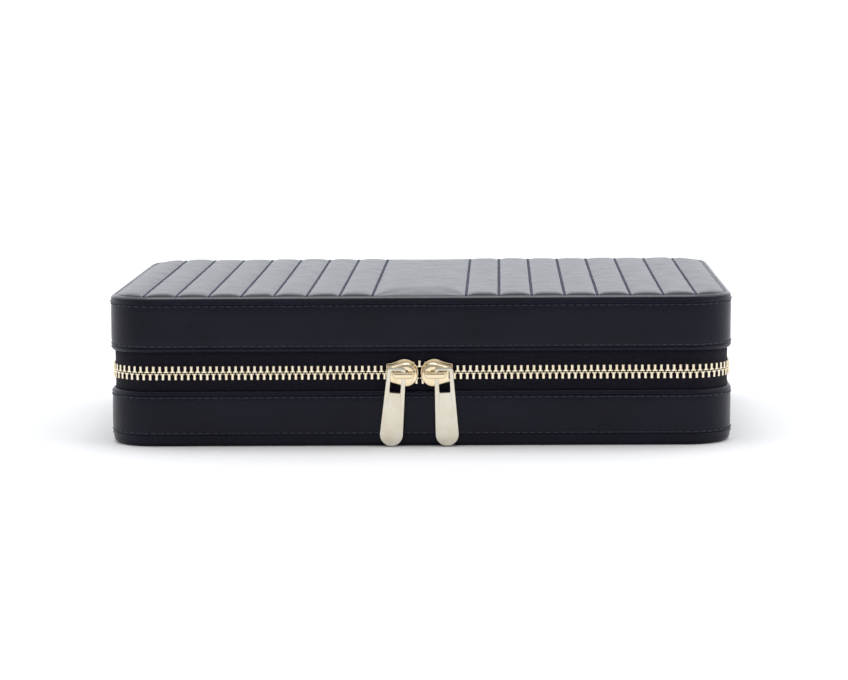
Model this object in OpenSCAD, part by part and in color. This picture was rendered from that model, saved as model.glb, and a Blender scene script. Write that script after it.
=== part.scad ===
// Zipped leather jewellery case: a base tray and a padded lid, hinged along the back by a
// leather spine and closed round the other three sides by a zip with two sliders.
// Millimetres. +X to the right, +Y to the back, +Z up.
// The origin is on the resting plane, under the middle of the case.

/* [Case] */
// Width across the side bands
case_w = 241; // [230:1:250]
// Depth across the front and back bands
case_d = 165; // [160:1:172]
// Plan radius of the case's corners
corner_r = 18; // [17:0.5:20]

/* [Heights] */
// Top of the leather bottom panel's turned-up edge
bottom_turn_z = 4.3; // [4.2:0.1:4.6]
// Top edge of the base at the zip
base_top_z = 21.5; // [21:0.1:22]
// Centre line of the zip
zip_z = 28.5; // [28.3:0.1:28.7]
// Lower edge of the lid at the zip
lid_low_z = 36.3; // [36:0.1:36.8]
// Seam between the lid's side band and its top binding
lid_seam_z = 54.8; // [54.5:0.1:55]
// Top of the lid's edge
lid_edge_z = 58; // [57.8:0.1:58.4]

/* [Quilting] */
// Distance from one quilting seam to the next
channel_pitch = 12.6; // [12:0.1:12.8]
// Half of the plain panel in the middle of the lid
plain_half = 18; // [16:0.5:18.5]
// Height of a channel's crown above its seams
channel_crown = 1.4; // [0.8:0.1:2]

/* [Zip] */
// Distance from tooth to tooth in one row
tooth_pitch = 2.44; // [2.2:0.02:2.6]
// Thickness of the two tapes
tape_t = 0.6; // [0.5:0.05:0.7]
// Width of the opening in each pull
window_w = 4.2; // [4:0.1:4.4]
// Length of each pull
pull_len = 30.3; // [28:0.1:30.5]
// Tilt of the left pull as it hangs, in degrees
left_tilt = 5.1; // [0:0.1:5.5]
// Tilt of the right pull as it hangs, in degrees
right_tilt = 2.7; // [0:0.1:5.5]

/* [Inside] */
// Height of the dividers' top edges
divider_top_z = 30; // [24:1:32]
// Thickness of the dividers
divider_t = 3; // [2:0.5:4]

/* [Hidden] */
// Number of rolls that hold rings between them, as in the list of nodes
ROLL_COUNT = 6;

$fn = 96;

// Glue line between neighbouring layers
glue = 0.1;
// Depths below the outer face of the bands, layer by layer
band_t = 1.3;
tape_in = band_t + glue;
board_in = 2.2;
board_out = 4.4;
lining_in = board_out + glue;
lining_out = 5.3;
collar_in = lining_out + glue;
collar_out = 7.2;
binding_in = 0.3;

// Layers of the base's floor
bottom_t = 1.2;
floor_board_low = bottom_t + glue;
floor_board_high = 3.4;
floor_z = 4.6;
bottom_inset = 1.6;

// The collar stands inside the zip and carries the closed lid
collar_top_z = lid_low_z - 0.3;
// Lowest line of the tapes' sewn margins in the base, and the highest in the lid
margin_low_z = base_top_z - 6.3;
margin_high_z = lid_low_z + 6;

// Layers of the lid's top, from inside to outside
ceiling_z = 51.3;
top_board_low = ceiling_z + 1.3;
top_board_high = lid_seam_z - glue;
foam_low = lid_seam_z;
panel_low = 56.6;
seam_z = 57.7;
panel_inset = 2.4;
crown_steps = 8;

// Hinge line of the lid: the outer face of the leather spine
spine_in = 0.9;
hinge_z = zip_z + 0.4;
fold_gap = 0.15;
spine_half = case_w / 2 - corner_r;

// Teeth
tooth_half = 2.65;
row_gap = 0.65;
tape_edge = 1;
tooth_w = 1.1;
tooth_front = 0.4;
tooth_back = 3;
tooth_slot = 0.1;
teeth_end_y = 56;
zip_radius = corner_r - tape_in;
zip_straight = case_w / 2 - corner_r;
zip_corner = zip_radius * PI / 2;
zip_half_length = zip_straight + zip_corner + teeth_end_y + case_d / 2 - corner_r;
teeth_each_way = floor(zip_half_length / tooth_pitch) - 1;
stop_len = 4;

// Sliders
slider_len = 12.3;
slider_r = 5.45;
slider_tail = 3.7;
nose_gap = 0.45;
plate_t = 1.2;
plate_back = 0.05;
plate_front = plate_back - plate_t;
rear_plate_in = tooth_back + 0.55;
flange_t = 0.75;
flange_gap = 0.45;
post_half = 0.35;

// Pulls and the bridges that they hang from
pull_t = 1.2;
pull_gap = 0.35;
pull_back = plate_front - pull_gap;
pull_front = pull_back - pull_t;
bridge_back = pull_front - 0.35;
bridge_t = 1.1;
bridge_peg_r = 0.6;
bridge_low = zip_z - 2.1;
bridge_high = zip_z + 1;
peg_x = 10.1;
nose_peg_x = 2.2;
peg_z = zip_z + 0.2;
peg_play = 0.15;
pull_top_w = 7.1;
pull_end_w = 8.9;
window_h = 8.4;
pull_rim = 1.3;
peg_drop = pull_rim + bridge_peg_r + peg_play;

// Inside
cavity_x = case_w / 2 - collar_out;
cavity_y = case_d / 2 - collar_out;
wall_play = 0.15;
main_x = -36;
left_y = 19;
right_y = 5;
short_x = 38;
roll_pitch = (left_y - divider_t / 2 + cavity_y - 2 * wall_play) / ROLL_COUNT;
roll_r = roll_pitch / 2 - 0.3;
roll_top_z = 22;

// Lid's fittings
mirror_x = -28;
mirror_w = 144;
mirror_d = 104;
mirror_border = 5;
glass_t = 2;
mirror_lip = 0.9;
fittings_x = 78;
hook_bar_w = 50;
hook_bar_d = 12;
hook_bar_y = -52;
hook_bar_t = 3;
hook_count = 5;
hook_r = 0.9;
hook_drop = 6;
hook_reach = 4;
pocket_w = 52;
pocket_d = 56;
pocket_y = 38;
pocket_depth = 6.5;
pocket_wall = 1;

// A pull's plain outline as three pieces: its tapered blade, its round end and its window
blade_len = pull_len - pull_end_w / 2;
blade_area = blade_len * (pull_top_w + pull_end_w) / 2;
blade_drop = blade_len / 3 * (pull_top_w + 2 * pull_end_w) / (pull_top_w + pull_end_w);
end_area = PI * pow(pull_end_w / 2, 2) / 2;
end_drop = blade_len + 2 * pull_end_w / (3 * PI);
window_area = window_w * window_h;
window_drop = pull_rim + window_h / 2;
pull_area = blade_area + end_area - window_area;
// Distance from a pull's top edge down to its centre of mass
pull_centre = (blade_area * blade_drop + end_area * end_drop - window_area * window_drop) / pull_area;
// How far the peg stands beside a pull's centre line, so that it hangs at the given tilt
function hang_offset(tilt) = (pull_centre - peg_drop) * tan(tilt);

// The case's rounded outline, moved inward
module plan(inset) {
    w = case_w - 2 * inset;
    d = case_d - 2 * inset;
    r = corner_r - inset;
    square([w - 2 * r, d], center = true);
    square([w, d - 2 * r], center = true);
    for (sx = [-1, 1], sy = [-1, 1])
        translate([sx * (w / 2 - r), sy * (d / 2 - r)])
            circle(r = r);
}

// A solid layer with the case's outline
module slab(inset, low, high) {
    translate([0, 0, low])
        linear_extrude(high - low)
            plan(inset);
}

// A wall that follows the case's outline between two depths
module ring(outer, inner, low, high) {
    translate([0, 0, low])
        linear_extrude(high - low)
            difference() {
                plan(outer);
                plan(inner);
            }
}

// The same wall, left out along the straight of the back where the spine is
module open_ring(outer, inner, low, high) {
    difference() {
        ring(outer, inner, low, high);
        translate([-spine_half - glue, 0, low - 1])
            cube([2 * (spine_half + glue), case_d, high - low + 2]);
    }
}

// Places a child on the outer face of the bands at a distance along the zip from the middle of
// the front: the child's X runs along the zip and its Y points into the case
module along_zip(distance) {
    side = sign(distance);
    past = abs(distance) - zip_straight;
    corner_y = corner_r - case_d / 2;
    if (past <= 0)
        translate([distance, -case_d / 2, 0])
            children();
    else if (past <= zip_corner)
        translate([side * zip_straight, corner_y, 0])
            rotate([0, 0, side * past / zip_radius * 180 / PI])
                translate([0, -corner_r, 0])
                    children();
    else
        translate([side * case_w / 2, corner_y + past - zip_corner, 0])
            rotate([0, 0, side * 90])
                children();
}

// One tooth of the lower row: two jaws that hold the tape's edge, and a head
module tooth(width) {
    jaw_front = tape_in - tooth_slot;
    jaw_back = tape_in + tape_t + tooth_slot;
    slot_top = -tape_edge + tooth_slot;
    translate([-width / 2, 0, 0])
        rotate([90, 0, 90])
            linear_extrude(width)
                polygon([
                    [tooth_front, -tooth_half], [jaw_front, -tooth_half],
                    [jaw_front, slot_top], [jaw_back, slot_top],
                    [jaw_back, -tooth_half], [tooth_back, -tooth_half],
                    [tooth_back, -row_gap], [tooth_front, -row_gap]
                ]);
}

// A row of teeth: the lower one at half steps, the upper one turned over at whole steps
module teeth_row(upper) {
    shift = upper ? 0 : 0.5;
    last = upper ? teeth_each_way : teeth_each_way - 1;
    for (step = [-teeth_each_way:last])
        along_zip((step + shift) * tooth_pitch)
            translate([0, 0, zip_z])
                mirror([0, 0, upper ? 1 : 0])
                    tooth(tooth_w);
}

// The stops that close the two ends of one row
module end_stops(upper) {
    for (side = [-1, 1])
        along_zip(side * (zip_half_length + stop_len / 2))
            translate([0, 0, zip_z])
                mirror([0, 0, upper ? 1 : 0])
                    tooth(stop_len);
}

module base_bottom_panel() {
    color("#1d1f2a") {
        slab(bottom_inset, 0, bottom_t);
        ring(binding_in, bottom_inset, bottom_t / 2, bottom_turn_z);
    }
}

module base_floor_board() {
    color("#8f8677")
        slab(board_in, floor_board_low, floor_board_high);
}

module base_wall_board() {
    color("#8f8677")
        ring(board_in, board_out, floor_board_high + glue, base_top_z - 0.6);
}

module base_wadding() {
    color("#c9c5bb")
        ring(tape_in, board_in - glue, bottom_turn_z + glue, margin_low_z - glue);
}

module base_side_band() {
    color("#262733")
        ring(0, band_t, bottom_turn_z + glue, base_top_z - 1.8);
}

module base_zip_binding() {
    color("#262733")
        ring(binding_in, band_t, base_top_z - 1.7, base_top_z);
}

module base_lining() {
    color("#3a3a48") {
        slab(lining_in, floor_board_high + glue, floor_z);
        ring(lining_in, lining_out, floor_z - 0.5, base_top_z - 0.7);
    }
}

module base_collar() {
    color("#43434f")
        ring(collar_in, collar_out, floor_z + glue, collar_top_z);
}

module base_zip_tape() {
    color("#1b1820")
        open_ring(tape_in, tape_in + tape_t, margin_low_z, zip_z - tape_edge);
}

module base_zip_teeth() {
    color("#d8c79a")
        teeth_row(false);
}

module base_end_stops() {
    color("#d8c79a")
        end_stops(false);
}

// Half of the leather spine: a thick strip in the gap between the bands and a thin sewn margin
module spine(edge, margin, fold) {
    back = case_d / 2;
    low = min(edge, fold);
    translate([-spine_half, back - board_in + glue, low])
        cube([2 * spine_half, board_in - glue - spine_in, abs(fold - edge)]);
    translate([-spine_half, back - board_in + glue, min(edge, margin) - 0.05])
        cube([2 * spine_half, board_in - glue - tape_in, abs(margin - edge) + 0.1]);
}

module hinge_leather_lower() {
    color("#20202b")
        spine(base_top_z + glue, margin_low_z, hinge_z - fold_gap);
}

module divider(from, to, z_top) {
    translate([from[0], from[1], floor_z + glue])
        cube([to[0] - from[0], to[1] - from[1], z_top - floor_z - glue]);
}

module divider_main() {
    color("#4a4a57")
        divider(
            [main_x - divider_t / 2, -cavity_y + wall_play],
            [main_x + divider_t / 2, cavity_y - wall_play], divider_top_z);
}

module divider_left() {
    color("#4a4a57")
        divider(
            [-cavity_x + wall_play, left_y - divider_t / 2],
            [main_x - divider_t / 2 - glue, left_y + divider_t / 2], divider_top_z);
}

module divider_right_long() {
    color("#4a4a57")
        divider(
            [main_x + divider_t / 2 + glue, right_y - divider_t / 2],
            [cavity_x - wall_play, right_y + divider_t / 2], divider_top_z);
}

module divider_right_short() {
    color("#4a4a57")
        divider(
            [short_x - divider_t / 2, right_y + divider_t / 2 + glue],
            [short_x + divider_t / 2, cavity_y - wall_play], divider_top_z);
}

// A soft roll with a round top: rings are pushed into the slot between one roll and the next.
// Its left end follows the collar, so the first roll is rounded off at the cavity's corner.
module ring_roll(index) {
    left = -cavity_x - 1;
    length = main_x - divider_t / 2 - glue - left;
    centre_y = -cavity_y + wall_play + (index - 0.5) * roll_pitch;
    color("#50505e")
        intersection() {
            slab(collar_out + wall_play, floor_z, roll_top_z + 1);
            translate([left, centre_y, 0]) {
                translate([0, -roll_r, floor_z + glue])
                    cube([length, 2 * roll_r, roll_top_z - roll_r - floor_z - glue]);
                translate([0, 0, roll_top_z - roll_r])
                    rotate([0, 90, 0])
                        cylinder(r = roll_r, h = length);
            }
        }
}

// Height of the quilting above its seams, at a place from -1 to 1 between two of them. A wide
// panel has a flat top and round shoulders.
function crown_height(place, wide) = channel_crown * (wide ? 0.7 : 1) * (1 - pow(abs(place), wide ? 8 : 2));

// The quilting seen from the front, from one seam to the next
function crown_points(from, to) = [
    for (k = [0:crown_steps - 1])
        [from + (to - from) * k / crown_steps, crown_height(2 * k / crown_steps - 1, to - from > 2 * channel_pitch)]
];

// The quilted top: a sheet with crowned channels on each side of a plain middle
module lid_quilted_panel() {
    edge = case_w / 2 - panel_inset;
    half_seams = [for (i = [0:7]) plain_half + i * channel_pitch];
    seams = concat([-edge], [for (i = [7:-1:0]) -half_seams[i]], half_seams, [edge]);
    top = [for (i = [0:len(seams) - 2]) each crown_points(seams[i], seams[i + 1])];
    sheet_t = seam_z - panel_low;
    color("#b4b5bb")
        intersection() {
            translate([0, case_d / 2, seam_z])
                rotate([90, 0, 0])
                    linear_extrude(case_d)
                        polygon(concat(top, [[edge, 0], [edge, -sheet_t], [-edge, -sheet_t]]));
            slab(panel_inset, panel_low - 1, seam_z + 2 * channel_crown);
        }
}

module lid_foam_pad() {
    color("#d9d6cd")
        slab(panel_inset, foam_low, panel_low - glue);
}

module lid_top_board() {
    color("#8f8677")
        slab(board_in, top_board_low, top_board_high);
}

module lid_wall_board() {
    color("#8f8677")
        ring(board_in, board_out, lid_low_z + 0.6, top_board_low - glue);
}

module lid_wadding() {
    color("#c9c5bb")
        ring(tape_in, board_in - glue, margin_high_z + glue, lid_seam_z - glue);
}

module lid_top_binding() {
    color("#1d1f2a") {
        ring(binding_in, panel_inset - glue, lid_seam_z + glue, lid_edge_z - 1.2);
        ring(1, panel_inset - glue, lid_edge_z - 1.3, lid_edge_z);
    }
}

module lid_side_band() {
    color("#1f2029")
        ring(0, band_t, lid_low_z + 1.8, lid_seam_z);
}

module lid_zip_binding() {
    color("#1f2029")
        ring(binding_in, band_t, lid_low_z, lid_low_z + 1.7);
}

module lid_lining() {
    color("#3a3a48") {
        slab(lining_in, ceiling_z, top_board_low - glue);
        ring(lining_in, collar_out, lid_low_z + glue, lid_low_z + 1.3);
        ring(lining_in, lining_out, lid_low_z + 1.2, ceiling_z + 0.1);
    }
}

module lid_zip_tape() {
    color("#1b1820")
        open_ring(tape_in, tape_in + tape_t, zip_z + tape_edge, margin_high_z);
}

module lid_zip_teeth() {
    color("#d8c79a")
        teeth_row(true);
}

module lid_end_stops() {
    color("#d8c79a")
        end_stops(true);
}

module hinge_leather_upper() {
    color("#20202b")
        spine(lid_low_z - glue, margin_high_z, hinge_z + fold_gap);
}

// The frame's lip holds the glass against the lid's ceiling
module mirror_frame() {
    frame_t = glass_t + mirror_lip + 0.1;
    inner_w = mirror_w - 2 * mirror_border;
    inner_d = mirror_d - 2 * mirror_border;
    color("#3f3f4c")
        translate([mirror_x, 0, ceiling_z - glue - frame_t])
            difference() {
                translate([-mirror_w / 2, -mirror_d / 2, 0])
                    cube([mirror_w, mirror_d, frame_t]);
                translate([-inner_w / 2, -inner_d / 2, mirror_lip])
                    cube([inner_w, inner_d, frame_t]);
                translate([3 - inner_w / 2, 3 - inner_d / 2, -1])
                    cube([inner_w - 6, inner_d - 6, frame_t]);
            }
}

module mirror_glass() {
    glass_w = mirror_w - 2 * mirror_border - 0.2;
    glass_d = mirror_d - 2 * mirror_border - 0.2;
    color("#cfd6da")
        translate([mirror_x - glass_w / 2, -glass_d / 2, ceiling_z - glue - glass_t - 0.05])
            cube([glass_w, glass_d, glass_t]);
}

module necklace_hook_bar() {
    color("#3f3f4c")
        translate([fittings_x - hook_bar_w / 2, hook_bar_y - hook_bar_d / 2, ceiling_z - glue - hook_bar_t])
            cube([hook_bar_w, hook_bar_d, hook_bar_t]);
}

// Hooks that point to the front edge, which is the top edge of the open lid
module necklace_hooks() {
    step = hook_bar_w / hook_count;
    top = ceiling_z - hook_bar_t - 2 * glue;
    color("#d8c79a")
        for (i = [0:hook_count - 1])
            translate([fittings_x + (i - (hook_count - 1) / 2) * step, hook_bar_y, top]) {
                translate([0, 0, -0.8])
                    cylinder(r = 2.2, h = 0.8);
                translate([0, 0, -hook_drop])
                    cylinder(r = hook_r, h = hook_drop);
                translate([0, 0, -hook_drop])
                    sphere(r = hook_r);
                translate([0, 0, -hook_drop])
                    rotate([90, 0, 0])
                        cylinder(r = hook_r, h = hook_reach);
            }
}

// A flat pocket, open towards the hooks, for the ends of the chains that hang from them
module chain_pocket() {
    color("#4a4a57")
        translate([fittings_x - pocket_w / 2, pocket_y - pocket_d / 2, ceiling_z - glue - pocket_depth])
            difference() {
                cube([pocket_w, pocket_d, pocket_depth]);
                translate([pocket_wall, -1, pocket_wall])
                    cube([pocket_w - 2 * pocket_wall, pocket_d - pocket_wall + 1, pocket_depth]);
            }
}

// A slider plate seen from the front: a round nose at the middle of the case and a narrow tail
module plate_outline() {
    waist = slider_r + 1;
    translate([-slider_r, 0])
        circle(r = slider_r);
    polygon([
        [-slider_len, -slider_tail], [-waist, -slider_r + 0.12],
        [-waist, slider_r - 0.12], [-slider_len, slider_tail]
    ]);
}

// A part of a slider between two depths, drawn in the plane of the zip
module zip_plane(front, back) {
    translate([-nose_gap, -case_d / 2 + back, zip_z])
        rotate([90, 0, 0])
            linear_extrude(back - front)
                children();
}

// The left slider: two plates joined by the post between the rows, with flanges below the lower
// row. The plates have no flanges above, so that the upper row can lift out with the lid.
module slider_body() {
    flange_low = -tooth_half - 0.3 - flange_t;
    color("#d9cba3") {
        zip_plane(plate_front, plate_back)
            plate_outline();
        zip_plane(rear_plate_in, rear_plate_in + plate_t)
            plate_outline();
        zip_plane(plate_back - 0.1, rear_plate_in + 0.1)
            translate([-4.6, -post_half])
                square([3.6, 2 * post_half]);
        zip_plane(plate_back - 0.1, tape_in - flange_gap)
            translate([-slider_len, flange_low])
                square([slider_len - 3, flange_t]);
        zip_plane(tape_in + tape_t + flange_gap, rear_plate_in + 0.1)
            translate([-slider_len, flange_low])
                square([slider_len - 3, flange_t]);
    }
}

// The bridge on the left slider's front plate: a bar that stands on two pegs
module slider_bridge() {
    front = -case_d / 2;
    color("#d9cba3") {
        translate([-peg_x - 0.8, front + bridge_back - bridge_t, bridge_low])
            cube([peg_x - nose_peg_x + 1.6, bridge_t, bridge_high - bridge_low]);
        for (x = [-peg_x, -nose_peg_x])
            translate([x, front + plate_front - glue / 2, peg_z])
                rotate([90, 0, 0])
                    cylinder(r = bridge_peg_r, h = plate_front - bridge_back);
    }
}

// The left pull, hanging from the tail-side peg of its bridge
module pull(tilt) {
    color("#dfd6bf")
        translate([-peg_x, -case_d / 2 + pull_back, peg_z])
            rotate([0, tilt, 0])
                translate([hang_offset(tilt), 0, peg_drop])
                    rotate([90, 0, 0])
                        linear_extrude(pull_t)
                            difference() {
                                union() {
                                    polygon([
                                        [-pull_top_w / 2, 0], [-pull_end_w / 2, -blade_len],
                                        [pull_end_w / 2, -blade_len], [pull_top_w / 2, 0]
                                    ]);
                                    translate([0, -blade_len])
                                        circle(r = pull_end_w / 2);
                                }
                                translate([-window_w / 2, -pull_rim - window_h])
                                    square([window_w, window_h]);
                            }
}

module left_slider_body() {
    slider_body();
}

module left_slider_bridge() {
    slider_bridge();
}

module left_pull() {
    pull(left_tilt);
}

module right_slider_body() {
    mirror([1, 0, 0])
        slider_body();
}

module right_slider_bridge() {
    mirror([1, 0, 0])
        slider_bridge();
}

module right_pull() {
    mirror([1, 0, 0])
        pull(right_tilt);
}

base_bottom_panel();
base_floor_board();
base_wall_board();
base_wadding();
base_side_band();
base_zip_binding();
base_lining();
base_collar();
base_zip_tape();
base_zip_teeth();
base_end_stops();
hinge_leather_lower();
divider_main();
divider_left();
divider_right_long();
divider_right_short();
for (i = [1:ROLL_COUNT])
    ring_roll(i);
lid_quilted_panel();
lid_foam_pad();
lid_top_board();
lid_wall_board();
lid_wadding();
lid_top_binding();
lid_side_band();
lid_zip_binding();
lid_lining();
lid_zip_tape();
lid_zip_teeth();
lid_end_stops();
hinge_leather_upper();
mirror_frame();
mirror_glass();
necklace_hook_bar();
necklace_hooks();
chain_pocket();
left_slider_body();
left_slider_bridge();
left_pull();
right_slider_body();
right_slider_bridge();
right_pull();
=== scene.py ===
import math
from contextlib import contextmanager

import bmesh
import bpy
import numpy as np
from mathutils import Matrix, Vector, noise


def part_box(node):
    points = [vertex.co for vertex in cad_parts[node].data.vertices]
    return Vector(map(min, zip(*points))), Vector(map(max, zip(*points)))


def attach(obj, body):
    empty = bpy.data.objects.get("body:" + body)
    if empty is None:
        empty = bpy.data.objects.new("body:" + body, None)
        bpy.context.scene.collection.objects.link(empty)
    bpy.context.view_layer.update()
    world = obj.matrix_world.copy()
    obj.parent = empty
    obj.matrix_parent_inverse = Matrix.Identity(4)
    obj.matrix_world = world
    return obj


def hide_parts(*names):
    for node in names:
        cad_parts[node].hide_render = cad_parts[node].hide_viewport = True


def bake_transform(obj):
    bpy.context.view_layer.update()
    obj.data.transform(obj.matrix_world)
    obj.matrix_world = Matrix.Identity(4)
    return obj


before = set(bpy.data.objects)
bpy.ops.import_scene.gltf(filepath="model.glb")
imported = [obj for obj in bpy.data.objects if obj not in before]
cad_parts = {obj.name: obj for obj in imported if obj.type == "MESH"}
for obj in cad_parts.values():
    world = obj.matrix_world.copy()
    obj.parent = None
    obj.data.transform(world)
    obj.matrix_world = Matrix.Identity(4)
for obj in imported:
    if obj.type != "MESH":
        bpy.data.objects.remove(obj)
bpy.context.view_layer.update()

# Looks of the zipped leather jewellery case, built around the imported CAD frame.
# Lengths in this script are in millimetres, in the frame's axes; MM turns them into metres.
MM = 0.001


# ---------------------------------------------------------------- places, from the frame
def span(node, axis):
    """Lowest and highest coordinate of a CAD node along one axis."""
    low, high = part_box(node)
    return low[axis] / MM, high[axis] / MM


def box_of(node):
    """Lowest and highest corner of a CAD node."""
    return [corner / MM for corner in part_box(node)]


CORNER = 18.0
HALF_W = span("base_side_band", 0)[1]
HALF_D = span("base_side_band", 1)[1]
BOTTOM_TURN = span("base_bottom_panel", 2)[1]
BASE_SEAM = span("base_zip_binding", 2)[0]
BASE_TOP = span("base_zip_binding", 2)[1]
LID_LOW = span("lid_zip_binding", 2)[0]
LID_SEAM_LOW = span("lid_zip_binding", 2)[1]
LID_SEAM = span("lid_side_band", 2)[1]
LID_EDGE = span("lid_top_binding", 2)[1]
QUILT_LOW, QUILT_TOP = span("lid_quilted_panel", 2)
QUILT_INSET = HALF_W - span("lid_quilted_panel", 0)[1]
ZIP = (span("base_zip_teeth", 2)[0] + span("lid_zip_teeth", 2)[1]) / 2
FLOOR = span("base_lining", 2)[0] + 1.1
COLLAR_TOP = span("base_collar", 2)[1]
COLLAR_IN = HALF_W - span("base_collar", 0)[1]
COLLAR_OUT = 7.2
CEILING = span("lid_lining", 2)[1] - 1.2
STRAIGHT_X = HALF_W - CORNER
STRAIGHT_Y = HALF_D - CORNER
ARC = CORNER * math.pi / 2
TAPE_END = STRAIGHT_X + 2 * ARC + 2 * STRAIGHT_Y
HALF_LOOP = TAPE_END + STRAIGHT_X

STITCH_PITCH = 2.97
STITCH_LEN = 2.2
STITCH_R = 0.27
# Where a thread lies along a stitch, as a share of its length and a depth in the leather
THREAD_DIPS = ((0, 0.34), (0.1, 0.08), (0.3, -0.02), (0.7, -0.02), (0.9, 0.08), (1, 0.34))


# ---------------------------------------------------------------- mesh helpers
def link(obj):
    bpy.context.scene.collection.objects.link(obj)
    return obj


def remove(obj):
    mesh = obj.data
    bpy.data.objects.remove(obj)
    bpy.data.meshes.remove(mesh)


def shade_smooth(obj):
    polygons = obj.data.polygons
    polygons.foreach_set("use_smooth", [True] * len(polygons))


@contextmanager
def editing(obj):
    """Opens an object's mesh for editing, and writes it back."""
    bm = bmesh.new()
    bm.from_mesh(obj.data)
    yield bm
    bm.to_mesh(obj.data)
    bm.free()


def make_object(name, verts, faces, material, smooth=True):
    """A mesh object from points in millimetres."""
    mesh = bpy.data.meshes.new(name)
    mesh.from_pydata([tuple(c * MM for c in v) for v in verts], [], faces)
    mesh.validate()
    mesh.update()
    mesh.materials.append(material)
    obj = link(bpy.data.objects.new(name, mesh))
    if smooth:
        shade_smooth(obj)
    return obj


def face_outwards(obj):
    with editing(obj) as bm:
        bmesh.ops.recalc_face_normals(bm, faces=bm.faces)
    return obj


def apply_modifiers(obj):
    """Turns an object's modifiers into its mesh."""
    graph = bpy.context.evaluated_depsgraph_get()
    graph.update()
    mesh = bpy.data.meshes.new_from_object(obj.evaluated_get(graph))
    old = obj.data
    obj.modifiers.clear()
    obj.data = mesh
    bpy.data.meshes.remove(old)


def join(target, *others):
    """Adds other objects' meshes to the target and removes them."""
    with editing(target) as bm:
        for other in others:
            bm.from_mesh(other.data)
    for other in others:
        remove(other)
    shade_smooth(target)
    return target


def sharpen(obj, degrees=40):
    """Keeps flat faces flat beside rounded edges."""
    obj.data.set_sharp_from_angle(angle=math.radians(degrees))


def circle(count):
    """Angles spread evenly round a circle."""
    return [2 * math.pi * k / count for k in range(count)]


def signed_power(value, power):
    return math.copysign(abs(value) ** power, value)


def add_rings(verts, faces, rings):
    """Adds a closed solid through a stack of rings that have equally many points."""
    first, count = len(verts), len(rings[0])
    for ring in rings:
        verts += ring
    for row in range(len(rings) - 1):
        a = first + row * count
        for k in range(count):
            m = (k + 1) % count
            faces.append((a + k, a + m, a + m + count, a + k + count))
    faces.append(tuple(first + k for k in reversed(range(count))))
    faces.append(tuple(len(verts) - count + k for k in range(count)))


def loft(name, rings, material):
    """A solid through a stack of rings."""
    verts, faces = [], []
    add_rings(verts, faces, rings)
    return face_outwards(make_object(name, verts, faces, material))


def add_tube(verts, faces, path, normal, radius, sides=6, end_share=1.0):
    """Adds a closed tube along a path that keeps square to a normal; its ends may be narrower."""
    rings = []
    last = len(path) - 1
    for i, point in enumerate(path):
        along = Vector(path[min(last, i + 1)]) - Vector(path[max(0, i - 1)])
        across = along.cross(Vector(normal)).normalized()
        up = across.cross(along).normalized()
        r = radius * (end_share if i in (0, last) else 1)
        spokes = [math.cos(t) * across + math.sin(t) * up for t in circle(sides)]
        rings.append([tuple(Vector(point) + r * spoke) for spoke in spokes])
    add_rings(verts, faces, rings)


def grid_solid(name, columns, rows, point, material):
    """A sheet with two faces that are closed round the edge; point(layer, i, j) places its points."""
    n = columns + 1
    size = n * (rows + 1)
    verts = [point(layer, i, j) for layer in (0, 1) for j in range(rows + 1) for i in range(n)]
    faces = []
    for a in (j * n + i for j in range(rows) for i in range(columns)):
        faces.append((a, a + 1, a + n + 1, a + n))
        faces.append((size + a, size + a + n, size + a + n + 1, size + a + 1))
    edge = list(range(n)) + [j * n + columns for j in range(1, rows + 1)]
    edge += [rows * n + i for i in reversed(range(columns))] + [j * n for j in reversed(range(1, rows))]
    for a, b in zip(edge, edge[1:] + edge[:1]):
        faces.append((a, size + a, size + b, b))
    return face_outwards(make_object(name, verts, faces, material))


def rounded_box(name, low, high, radius, material, segments=3):
    """A box with rounded edges, from its two corners."""
    obj = link(bpy.data.objects.new(name, bpy.data.meshes.new(name)))
    obj.data.materials.append(material)
    with editing(obj) as bm:
        bmesh.ops.create_cube(bm, size=1.0)
        centre = [(a + b) / 2 for a, b in zip(low, high)]
        size = [b - a for a, b in zip(low, high)]
        for v in bm.verts:
            v.co = Vector([centre[i] + v.co[i] * size[i] for i in range(3)]) * MM
        bmesh.ops.bevel(bm, geom=bm.edges[:], offset=radius * MM, segments=segments, profile=0.5,
                        affect="EDGES")
    shade_smooth(obj)
    return obj


def subdivide(obj):
    mod = obj.modifiers.new("round", "SUBSURF")
    mod.levels = 1
    mod.render_levels = 1
    apply_modifiers(obj)


def dress(obj, body, slot, *nodes):
    """Sets what moves a piece and hides the CAD nodes that it stands for; slot is not used."""
    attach(obj, body)
    if nodes:
        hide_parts(*nodes)
    return obj


# ---------------------------------------------------------------- the case's rounded outline
def at(s):
    """Point on the bands' outer face and its outward normal, s along the outline from the
    middle of the front, positive to the right."""
    side = 1 if s >= 0 else -1
    a = abs(s)
    if a <= STRAIGHT_X:
        return (s, -HALF_D), (0.0, -1.0)
    a -= STRAIGHT_X
    if a <= ARC:
        n = (side * math.sin(a / CORNER), -math.cos(a / CORNER))
        return (side * STRAIGHT_X + CORNER * n[0], -STRAIGHT_Y + CORNER * n[1]), n
    a -= ARC
    if a <= 2 * STRAIGHT_Y:
        return (side * HALF_W, -STRAIGHT_Y + a), (float(side), 0.0)
    a -= 2 * STRAIGHT_Y
    if a <= ARC:
        n = (side * math.cos(a / CORNER), math.sin(a / CORNER))
        return (side * STRAIGHT_X + CORNER * n[0], STRAIGHT_Y + CORNER * n[1]), n
    return (side * (STRAIGHT_X - (a - ARC)), HALF_D), (0.0, 1.0)


def place(s, inset, z):
    (x, y), (nx, ny) = at(s)
    return x - inset * nx, y - inset * ny, z


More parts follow.
